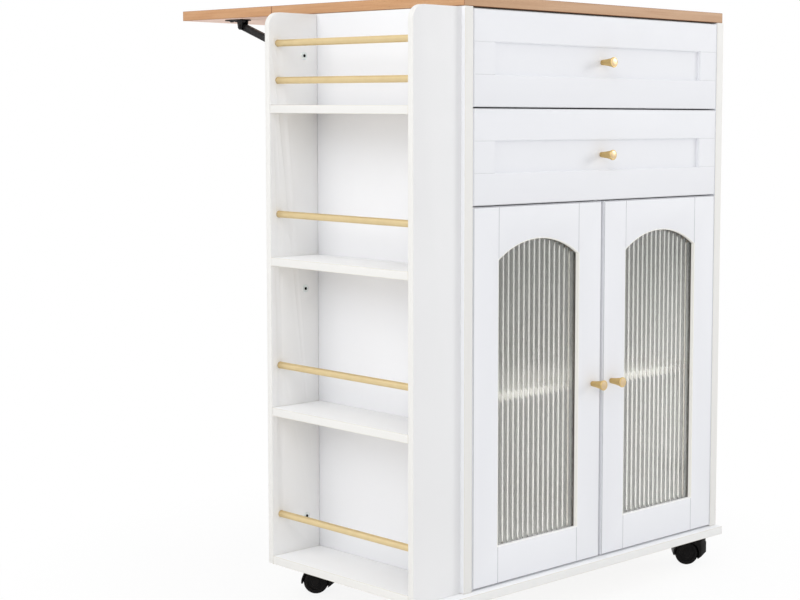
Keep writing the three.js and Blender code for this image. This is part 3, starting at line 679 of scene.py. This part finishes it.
# Each section is (inset, depth) or (inset, depth, lip), with the depth behind the front face.
# A bead over the rounded edge, in a whiter lacquer that paints a highlight round the window's rim, and a
# dark strip between it and the glass:
BEAD = [(-EDGE_ROUND * 1.4, 0.0002), (-EDGE_ROUND * 1.3, -0.00006)]
BEAD += [(-EDGE_ROUND + BEAD_RADIUS * math.sin(math.radians(turn)),
          EDGE_ROUND - BEAD_RADIUS * math.cos(math.radians(turn))) for turn in (15, 35, 55, 75, 90)]
BEAD += [(0.0001, 0.0020, 0.0004), (0.0001, 0.0045, 0.0016), (-0.0003, 0.0045), (-0.0009, 0.0012)]
GLAZING_STRIP = [(-0.0001, 0.0046), (0.0005, 0.0046, 0.0027), (0.0006, 0.0047, 0.0028),
        (0.0006, 0.0050, 0.0028), (0.0002, 0.0051), (-0.0001, 0.0051)]
# a strip in the rebate behind the glass:
RETAINER = [(-0.0058, 0.0095), (-0.0010, 0.0095), (-0.0006, 0.0099), (-0.0006, 0.0125),
            (-0.0016, 0.0135), (-0.0058, 0.0135)]


def window_loop(side, inset, lip=0.0):
    """The window's outline as (x, z), drawn in by inset: a sill, two jambs and an arch.

    The jambs stand in by the lip as well.
    """
    low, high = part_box(f"door_glass_{side}")
    half = (high.x - low.x) / 2 - GLASS_LAP
    middle_x, sill, apex = (low.x + high.x) / 2, low.z + GLASS_LAP, high.z - GLASS_LAP
    radius = (half * half + ARCH_RISE * ARCH_RISE) / (2 * ARCH_RISE)
    jamb, reach = half - inset - lip, radius - inset
    start = math.acos(jamb / reach)
    turns = [start + (math.pi - 2 * start) * i / ARCH_STEPS for i in range(ARCH_STEPS + 1)]
    arch = [(middle_x + reach * math.cos(a), apex - radius + reach * math.sin(a)) for a in turns]
    return [(middle_x - jamb, sill + inset), (middle_x + jamb, sill + inset)] + arch


def window_trim(name, side, section, materials):
    """A closed strip round a door's window; the second material is the sill's."""
    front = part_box(f"door_frame_{side}")[0].y
    mesh = bmesh.new()
    loops = [[mesh.verts.new((x, front + depth, z)) for x, z in window_loop(side, inset, *lip)]
             for inset, depth, *lip in section]
    for loop, following in zip(loops, loops[1:] + loops[:1]):
        for j in range(len(loop)):
            k = (j + 1) % len(loop)
            face = mesh.faces.new((loop[j], loop[k], following[k], following[j]))
            face.material_index = 1 if j == 0 else 0
    piece(f"{name}_{side}", mesh, materials, f"door_{side}")


def windows():
    """Each door's pane and the three trims round it."""
    for side, _ in SIDES:
        fluted_pane(side)
        window_trim("window_highlight_bead", side, BEAD, [BEAD_PAINTED_HIGHLIGHT, SILL_PAINTED_HIGHLIGHT])
        window_trim("glazing_strip", side, GLAZING_STRIP, [STRIP_BROWN, SILL_CONTACT_SHADOW_GREY])
        window_trim("pane_retainer", side, RETAINER, [FIBREBOARD, LACQUER])


# ---------------------------------------------------------------- small hardware


LOCK_X = -0.262  # across the rack's end panels
LOCK_HEIGHTS = (0.061, 0.401, 0.741)  # above the base board

PIN = [(0, 0), (0.0048, 0), (0.0048, 0.0014), (0.0025, 0.0014), (0.0025, 0.009), (0, 0.0094)]
PIN_DROP = 0.0026  # a pin's middle below the shelf
PIN_INSETS = (0.045, 0.04)  # from the shelf's front and back edges

# a screw's size is its head's radius and rise
STAY_SCREW = (0.0036, 0.0015)
STAY_HOLES = (0.006, 0.018)  # from a plate's far end
STAY_SEAT = 0.0021  # from a plate's fixed face to its screws' feet

LEAF_HINGE_SCREW = (0.0032, 0.0009)
LEAF_HINGE_HOLES = ((-0.021, 0.009), (0, 0.013), (0.021, 0.009))  # along a wing, in from its edge
LEAF_HINGE_SEAT = 0.0016  # below the wing's top

CUP_COVER = [(0, 0), (0.0172, 0), (0.0172, 0.0005), (0.0168, 0.0008), (0.0152, 0.0008),
             (0.0146, 0.0003), (0, 0.0003)]
CUP_INSET = 0.0225  # cup centre to the door's hinged edge
CUP_SCREW, CUP_SCREW_REACH = (0.0035, 0.001), 0.024  # above and below the cup's centre
HINGE_PLATE_SCREW, HINGE_PLATE_REACH = (0.0036, 0.0013), 0.018  # above and below its middle
HINGE_PLATE_SEAT = 0.0019  # from the plate's outer face to its screws' feet
HINGE_PLATE_Y = -0.2606  # where the screws stand behind the doors

RUNNER_SCREW = (0.003, 0.0009)
RUNNER_HOLES = (0.02, 0.105, 0.22)  # from the runner's front end
RUNNER_STEEL = 0.0013  # its thickness, which the heads stand on


def cam_lock(name, origin, direction):
    """A cam lock's face: a chamfered rim, a dished disc and a shallow hexagonal socket in painted shade."""
    mesh = bmesh.new()
    at = facing(origin, direction, 0.3)
    lathe(mesh, [(0, 0), (0.0058, 0), (0.0058, 0.0002), (0.0053, 0.0006), (0.0047, 0.0006),
                 (0.0042, 0.0003), (0.0026, 0.0004), (0, 0.0004)], at, 40)
    lathe(mesh, [(0, 0.0002), (0.0023, 0.0002), (0.0025, 0.00065), (0.0018, 0.00065),
                 (0.0017, 0.0006), (0, 0.0006)], at, 6, 1)
    piece(name, mesh, [LOCK_ZINC, SOCKET_SHADE], "cabinet")


def cam_locks():
    """Three locks on the inner face of each of the rack's end panels."""
    base_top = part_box("base_board")[1].z
    for number, rise in enumerate(LOCK_HEIGHTS, 1):
        for panel, face, way in (("rear", 0, -1), ("front", 1, 1)):
            place = (LOCK_X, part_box(f"rack_panel_{panel}")[face].y, base_top + rise)
            cam_lock(f"cam_lock_{panel}_{number}", place, (0, way, 0))


def screws(name, body, size, places, material=ZINC):
    """Several screw heads as one piece; each place is an origin and the way that it faces."""
    mesh = bmesh.new()
    for i, (origin, direction) in enumerate(places):
        screw_head(mesh, *size, facing(origin, direction, 0.5 + 0.9 * i))
    # the cross recesses take the painted shade
    piece(name, mesh, [material, SOCKET_SHADE], body)


def shelf_pins():
    """The four pins that carry the cupboard shelf."""
    low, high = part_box("cupboard_shelf")
    mesh = bmesh.new()
    for y in (low.y + PIN_INSETS[0], high.y - PIN_INSETS[1]):
        for x, way in ((low.x, 1), (high.x, -1)):
            lathe(mesh, PIN, facing((x, y, low.z - PIN_DROP), (way, 0, 0)), 24)
    piece("shelf_pins", mesh, ZINC, "cabinet")


def stay_screws():
    """Screws through the two holes of each stay's plates."""
    for side, _ in SIDES:
        node = f"stay_{side}_leaf_plate"
        x, high = middle(node).x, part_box(node)[1]
        screws(f"stay_screws_{side}_leaf", "leaf", STAY_SCREW,
               [((x, high.y - d, high.z - STAY_SEAT), (0, 0, -1)) for d in STAY_HOLES],
               STEEL_BLACK)
        node = f"stay_{side}_wall_plate"
        x, (low, high) = middle(node).x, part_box(node)
        screws(f"stay_screws_{side}_wall", "cabinet", STAY_SCREW,
               [((x, low.y + STAY_SEAT, high.z - d), (0, 1, 0)) for d in STAY_HOLES],
               STEEL_BLACK)


def leaf_hinge_screws():
    """Three screws in each wing of the two leaf hinges."""
    for number in (1, 2):
        for half, body, edge, inward in (("fixed", "cabinet", 0, 1), ("moving", "leaf", 1, -1)):
            node = f"leaf_hinge_{number}_{half}"
            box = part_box(node)
            x, y, z = middle(node).x, box[edge].y, box[1].z - LEAF_HINGE_SEAT
            screws(f"leaf_hinge_screws_{number}_{half}", body, LEAF_HINGE_SCREW,
                   [((x + along, y + inward * reach, z), (0, 0, -1)) for along, reach in LEAF_HINGE_HOLES])


def door_hinge_covers():
    """Steel covers on the hinge cups, and the screws of cups and mounting plates."""
    for side, way in SIDES:
        door, body = f"door_frame_{side}", f"door_{side}"
        x, back = outer_x(door, way) + way * CUP_INSET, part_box(door)[1].y
        for level in ("lower", "upper"):
            node = f"door_hinge_{side}_{level}"
            z = middle(node).z
            mesh = bmesh.new()
            lathe(mesh, CUP_COVER, facing((x, back, z), (0, 1, 0)))
            piece(f"hinge_cup_{side}_{level}", mesh, ZINC, body)
            screws(f"hinge_cup_screws_{side}_{level}", body, CUP_SCREW,
                   [((x, back, z + d), (0, 1, 0)) for d in (-CUP_SCREW_REACH, CUP_SCREW_REACH)])
            inner = outer_x(node, way) + way * HINGE_PLATE_SEAT
            screws(f"hinge_plate_screws_{side}_{level}", "cabinet", HINGE_PLATE_SCREW,
                   [((inner, HINGE_PLATE_Y, z + d), (way, 0, 0))
                    for d in (-HINGE_PLATE_REACH, HINGE_PLATE_REACH)])


def runner_screws():
    """Screw heads inside the cabinet's halves of the drawer runners."""
    for level in LEVELS:
        for side, way in SIDES:
            node = f"runner_{level}_{side}"
            x, y, z = outer_x(node, way) + way * RUNNER_STEEL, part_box(node)[0].y, middle(node).z
            screws(f"runner_screws_{level}_{side}", "cabinet", RUNNER_SCREW,
                   [((x, y + d, z), (way, 0, 0)) for d in RUNNER_HOLES])


# ---------------------------------------------------------------- casters


AXLE = Vector((1, 1, 0)).normalized()
PLATE_HALF, PLATE_ROUND = 0.0176, 0.004  # half a caster plate's side, and its corners
PLATE_THICKNESS = 0.0022


def wheel_profile(radius):
    """One wheel of a pair, from its inner face outwards: (radius, distance along the axle)."""
    return [
        (0, 0.0002),
        (0.003, 0.0042), (radius - 0.0022, 0.0042), (radius - 0.0006, 0.0049), (radius, 0.0062),
        (radius, 0.0086), (radius - 0.0004, 0.0090), (radius - 0.0004, 0.0100), (radius, 0.0104),
        (radius, 0.0128), (radius - 0.0007, 0.0142), (radius - 0.0022, 0.0150), (radius - 0.0052, 0.0150),
        (radius - 0.0060, 0.0146), (radius - 0.0066, 0.0136), (radius - 0.0090, 0.0134),
        (0.0068, 0.0136), (0.0064, 0.0144), (0.0056, 0.0147), (0.0030, 0.0148), (0, 0.0148),
    ]


def twin_wheels(corner):
    """A caster's pair of moulded wheels."""
    node = f"caster_{corner}_wheels"
    centre = middle(node)
    mesh = bmesh.new()
    for way in (1, -1):
        lathe(mesh, wheel_profile(centre.z), facing(centre, AXLE * way), 72)
    piece(f"twin_wheels_{corner}", mesh, TYRE_BLACK, f"wheels_{corner}", [node])


def rounded_square(half, corner_round, steps=6):
    """The outline of a square with round corners, about the origin."""
    points = []
    for quarter, (across, along) in enumerate(((1, 1), (-1, 1), (-1, -1), (1, -1))):
        for step in range(steps + 1):
            turn = math.pi / 2 * (quarter + step / steps)
            points.append((across * (half - corner_round) + corner_round * math.cos(turn),
                           along * (half - corner_round) + corner_round * math.sin(turn)))
    return points


def caster_plate(corner):
    """The zinc-plated face over the plate that a caster swivels on."""
    joint = next(j for j in frame["joints"] if j["name"] == f"caster_{corner}_swivel")
    swivel = Vector(joint["pos_m"])
    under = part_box("base_board")[0].z
    outline = rounded_square(PLATE_HALF, PLATE_ROUND)
    mesh = bmesh.new()
    rings = [[mesh.verts.new((swivel.x + u * share, swivel.y + v * share, z)) for u, v in outline]
             for share, z in ((1, under + PLATE_THICKNESS), (1, under - 0.0001), (0.98, under - 0.0003))]
    loft(mesh, rings)
    mesh.faces.new(rings[0])
    mesh.faces.new(list(reversed(rings[-1])))
    piece(f"caster_plate_{corner}", mesh, ZINC, "cabinet")


# ---------------------------------------------------------------- floor, light and camera


FLOOR_WHITE = (0.88, 1.0)  # how far the floor is drawn white, under the island and away from it
FLOOR_FADE = (0.32, 0.68)  # between these distances from its middle
SURROUNDINGS = 0.617  # the even light's strength
LAMPS = (  # name, place, target, side and power
    ("right_box", (4.4, -3.3, 1.9), (0, 0, 0.45), 1.8, 64.5),
    ("left_box", (-4.2, -2.8, 4.2), (0, 0, 0.4), 3.4, 64.7),
    ("side_box", (-4.4, 0.9, 3.6), (0, 0, 0.4), 3.4, 59.5),
    ("low_box", (-5.2, -0.6, 1.4), (0, 0, 0.4), 3.4, 18),
    ("top_box", (0.0, -0.6, 5.2), (0, 0, 0.4), 3.0, 28.7),
)
CAMERA_PLACE = (-1.82126, -1.95744, 0.72373)
CAMERA_YAW, CAMERA_PITCH, CAMERA_ROLL = (math.radians(angle) for angle in (46.24, 5.07, 0.35))
CAMERA_LENS, CAMERA_SENSOR = 76.29, 36
CAMERA_SHIFT = (-0.1668, -0.0471)


def stage_floor():
    """A pale floor that takes the island's shadow and fades to white away from it."""
    bpy.ops.mesh.primitive_plane_add(size=40, location=(0, 0, 0))
    floor = bpy.context.object
    floor.name = "floor"
    f = Finish("floor_white", Specular_IOR_Level=0.1)
    f.color(f.mottled(2, (246, 246, 246), (244, 244, 244), 2))
    f.rough(f.spread(f.noise(8), 0.8, 0.9))
    glow = f.add("Emission")
    glow.inputs["Strength"].default_value = 1.0
    path = f.add("LightPath")
    seen = f.math("MAXIMUM", path.outputs["Is Camera Ray"], path.outputs["Is Glossy Ray"])
    seen = f.math("MAXIMUM", seen, path.outputs["Is Transmission Ray"])
    x, y, _ = f.xyz(f.places["Object"])
    away = f.math("SQRT", f.math("ADD", f.math("MULTIPLY", x, x), f.math("MULTIPLY", y, y)))
    mix = f.add("MixShader")
    f.put(f.math("MULTIPLY", seen, f.spread(away, *FLOOR_WHITE, *FLOOR_FADE)), mix.inputs[0])
    f.put(f.shader.outputs[0], mix.inputs[1])
    f.put(glow.outputs[0], mix.inputs[2])
    f.put(mix.outputs[0], f.nodes["Material Output"].inputs["Surface"])
    floor.data.materials.append(f.material)


def surroundings(level):
    """Even light all round, seen as plain white directly, in gloss and through glass."""
    world = bpy.data.worlds.new("studio")
    bpy.context.scene.world = world
    world.use_nodes = True
    nodes, links = world.node_tree.nodes, world.node_tree.links
    light = nodes["Background"]
    light.inputs["Color"].default_value = (1, 1, 1, 1)
    light.inputs["Strength"].default_value = level
    seen = nodes.new("ShaderNodeBackground")
    seen.inputs["Color"].default_value = (1, 1, 1, 1)
    path, mix = nodes.new("ShaderNodeLightPath"), nodes.new("ShaderNodeMixShader")
    either = path.outputs["Is Camera Ray"]
    for kind in ("Is Glossy Ray", "Is Transmission Ray"):
        larger = nodes.new("ShaderNodeMath")
        larger.operation = "MAXIMUM"
        links.new(either, larger.inputs[0])
        links.new(path.outputs[kind], larger.inputs[1])
        either = larger.outputs[0]
    links.new(either, mix.inputs[0])
    links.new(light.outputs[0], mix.inputs[1])
    links.new(seen.outputs[0], mix.inputs[2])
    links.new(mix.outputs[0], nodes["World Output"].inputs["Surface"])


def soft_box(name, origin, target, side, power):
    """A square lamp of white light, turned to its target."""
    data = bpy.data.lights.new(name, "AREA")
    data.shape, data.size, data.energy = "SQUARE", side, power
    lamp = bpy.data.objects.new(name, data)
    lamp.location = origin
    lamp.rotation_euler = (Vector(target) - Vector(origin)).to_track_quat("-Z", "Y").to_euler()
    bpy.context.scene.collection.objects.link(lamp)


def camera():
    """The photograph's view, solved from its straight edges."""
    level_ahead = Vector((math.sin(CAMERA_YAW), math.cos(CAMERA_YAW), 0))
    ahead = level_ahead * math.cos(CAMERA_PITCH) - Vector((0, 0, math.sin(CAMERA_PITCH)))
    level = Vector((math.cos(CAMERA_YAW), -math.sin(CAMERA_YAW), 0))
    up = level.cross(ahead)
    right = level * math.cos(CAMERA_ROLL) + up * math.sin(CAMERA_ROLL)
    up = up * math.cos(CAMERA_ROLL) - level * math.sin(CAMERA_ROLL)
    data = bpy.data.cameras.new("camera")
    data.sensor_width, data.lens = CAMERA_SENSOR, CAMERA_LENS
    data.shift_x, data.shift_y = CAMERA_SHIFT
    data.clip_start, data.clip_end = 0.05, 100
    view = bpy.data.objects.new("camera", data)
    turn = Matrix((right, up, -ahead)).transposed().to_4x4()
    view.matrix_world = Matrix.Translation(CAMERA_PLACE) @ turn
    bpy.context.scene.collection.objects.link(view)
    bpy.context.scene.camera = view


# ---------------------------------------------------------------- the whole scene


dress_all()
knobs()
rack_rails()
windows()
cam_locks()
shelf_pins()
stay_screws()
leaf_hinge_screws()
door_hinge_covers()
runner_screws()
for corner in CORNERS:
    twin_wheels(corner)
    caster_plate(corner)

stage_floor()
surroundings(SURROUNDINGS)
for lamp in LAMPS:
    soft_box(*lamp)
camera()

scene = bpy.context.scene
scene.view_settings.view_transform = "Standard"
